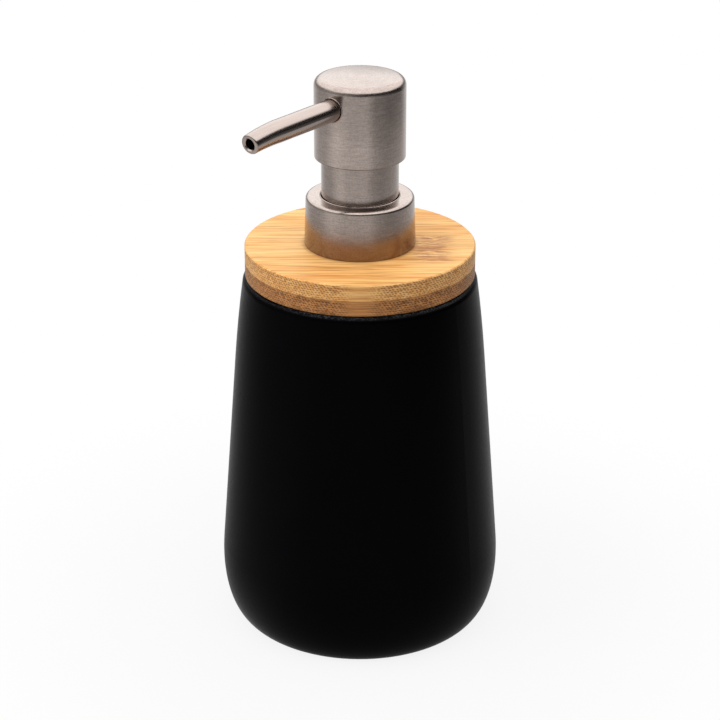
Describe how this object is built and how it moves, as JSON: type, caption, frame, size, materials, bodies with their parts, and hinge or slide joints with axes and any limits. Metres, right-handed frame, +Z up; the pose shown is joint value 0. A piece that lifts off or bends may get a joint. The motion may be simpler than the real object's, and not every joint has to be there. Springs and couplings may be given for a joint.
{
  "type": "soap pump dispenser",
  "caption": "Tapered matte black soap bottle with a laminated bamboo lid and a brushed metal push pump with a screw collar, a sprung head and a spout that turns.",
  "frame": {"origin": "centre of the foot, on the surface that the bottle stands on", "axes": "+Z up along the pump's axis, the spout points along -Y at rest"},
  "size_m": [0.0801, 0.0861, 0.1615],
  "materials": {
    "black_ceramic": "matte glaze",
    "bamboo_light": "oiled, fine straight grain",
    "bamboo_dark": "oiled, fine straight grain",
    "silicone": "matte",
    "white_plastic": "moulded",
    "soft_plastic": "moulded, soft",
    "gasket_foam": "foamed",
    "clear_plastic": "translucent",
    "brushed_nickel": "brushed around the axis",
    "polished_nickel": "polished",
    "spring_steel": "drawn wire",
    "valve_steel": "polished"
  },
  "bodies": {
    "bottle": {"bottle": "black_ceramic"},
    "lid": {"lid_top_layer": "bamboo_light", "lid_lower_layer": "bamboo_dark", "lid_plug": "bamboo_dark", "lid_seal": "silicone", "neck_insert": "white_plastic"},
    "pump_body": {"neck_gasket": "gasket_foam", "pump_housing": "white_plastic", "dip_tube": "clear_plastic", "chaplet": "white_plastic", "neck_sleeve": "brushed_nickel", "return_spring": "spring_steel"},
    "closure": {"closure_cap": "white_plastic", "collar_shell": "brushed_nickel"},
    "piston": {"piston_seal": "soft_plastic"},
    "head": {"head_shell": "brushed_nickel", "actuator_core": "white_plastic", "spout_tube": "polished_nickel", "pump_stem": "white_plastic", "piston_retainer": "white_plastic"},
    "suction_valve": {"inlet_ball": "valve_steel"},
    "discharge_valve": {"outlet_ball": "valve_steel"}
  },
  "joints": [
    {"name": "lid_lift", "type": "slide", "parent": "bottle", "child": "lid", "axis": [0, 0, 1], "range_m": [0, 0.12]},
    {"name": "pump_rise", "type": "slide", "parent": "lid", "child": "pump_body", "axis": [0, 0, 1], "range_m": [0, 0.00529]},
    {"name": "closure_turn", "type": "hinge", "parent": "pump_body", "child": "closure", "pos_m": [0, 0, 0.12], "axis": [0, 0, 1], "range_deg": [0, 450]},
    {"name": "pump_stroke", "type": "slide", "parent": "pump_body", "child": "piston", "axis": [0, 0, -1], "range_m": [0, 0.0105], "stiffness_N_per_m": 800, "springref_m": -0.012, "deforming": ["return_spring"]},
    {"name": "spout_swivel", "type": "hinge", "parent": "piston", "child": "head", "pos_m": [0, 0, 0.15], "axis": [0, 0, 1], "continuous": true},
    {"name": "suction_ball_lift", "type": "slide", "parent": "pump_body", "child": "suction_valve", "axis": [0, 0, 1], "range_m": [0, 0.0014]},
    {"name": "discharge_ball_lift", "type": "slide", "parent": "head", "child": "discharge_valve", "axis": [0, 0, 1], "range_m": [0, 0.0009]}
  ],
  "couplings": [
    {"joint": "closure_turn", "follows": "pump_rise", "rad_per_m": 1484.3}
  ]
}
